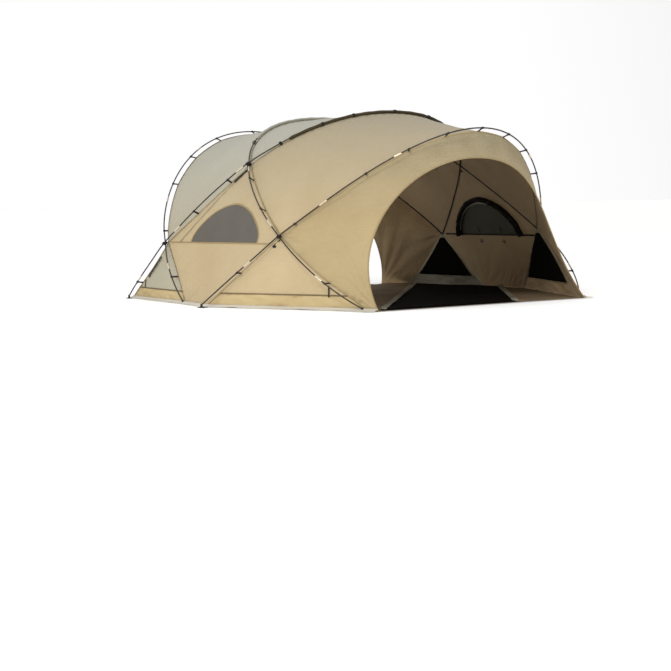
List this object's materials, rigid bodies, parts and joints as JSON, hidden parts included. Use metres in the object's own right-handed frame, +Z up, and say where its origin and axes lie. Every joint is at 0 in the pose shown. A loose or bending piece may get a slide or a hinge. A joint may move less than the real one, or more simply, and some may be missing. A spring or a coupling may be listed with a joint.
{
  "type": "dome sun shelter",
  "caption": "Family dome sun shelter with bent outside poles, open arched front and back, windowed side walls and a flat groundsheet.",
  "frame": {"origin": "on the ground under the middle of the shelter's plan", "axes": "+X to the right side of the shelter seen from behind it, +Y towards the back opening, +Z up; the front opening faces -Y"},
  "size_m": [5.0072, 4.8951, 2.2188],
  "materials": {
    "poles": "satin lacquered tube with pale ferrules",
    "sleeves": "matt woven polyester",
    "fabric": "matt woven polyester, khaki",
    "roof_fabric": "matt woven polyester, greyer khaki",
    "band": "matt coated polyester",
    "mesh": "fine knitted mesh",
    "webbing": "woven black webbing",
    "sheet": "coated woven groundsheet"
  },
  "bodies": {
    "root": {"back_arch_pole_crown": "poles", "back_arch_pole_left": "poles", "back_arch_pole_right": "poles", "back_awning_left": "roof_fabric", "back_awning_right": "roof_fabric", "back_left_ground_band": "band", "back_left_vent": "roof_fabric", "back_opening_left_side": "roof_fabric", "back_opening_right_side": "roof_fabric", "back_right_ground_band": "band", "back_right_vent": "roof_fabric", "back_roof_pole_left": "poles", "back_roof_pole_right": "poles", "back_roof_sleeve": "sleeves", "front_arch_pole_crown": "poles", "front_arch_pole_left": "poles", "front_arch_pole_right": "poles", "front_awning_left": "fabric", "front_awning_right": "fabric", "front_left_ground_band": "band", "front_left_vent": "fabric", "front_opening_left_side": "fabric", "front_opening_right_side": "fabric", "front_right_ground_band": "band", "front_right_vent": "fabric", "front_roof_pole_left": "poles", "front_roof_pole_right": "poles", "front_roof_sleeve": "sleeves", "groundsheet": "sheet", "left_back_corner_foot": "webbing", "left_back_tie": "webbing", "left_front_corner_foot": "webbing", "left_front_tie": "webbing", "left_hem_strap": "webbing", "left_hub_tie": "webbing", "left_wall": "fabric", "left_window_mesh": "mesh", "right_back_corner_foot": "webbing", "right_back_tie": "webbing", "right_front_corner_foot": "webbing", "right_front_tie": "webbing", "right_hem_strap": "webbing", "right_hub_tie": "webbing", "right_wall": "fabric", "right_window_mesh": "mesh", "roof_back": "roof_fabric", "roof_centre": "roof_fabric", "roof_front": "fabric"}
  },
  "joints": []
}
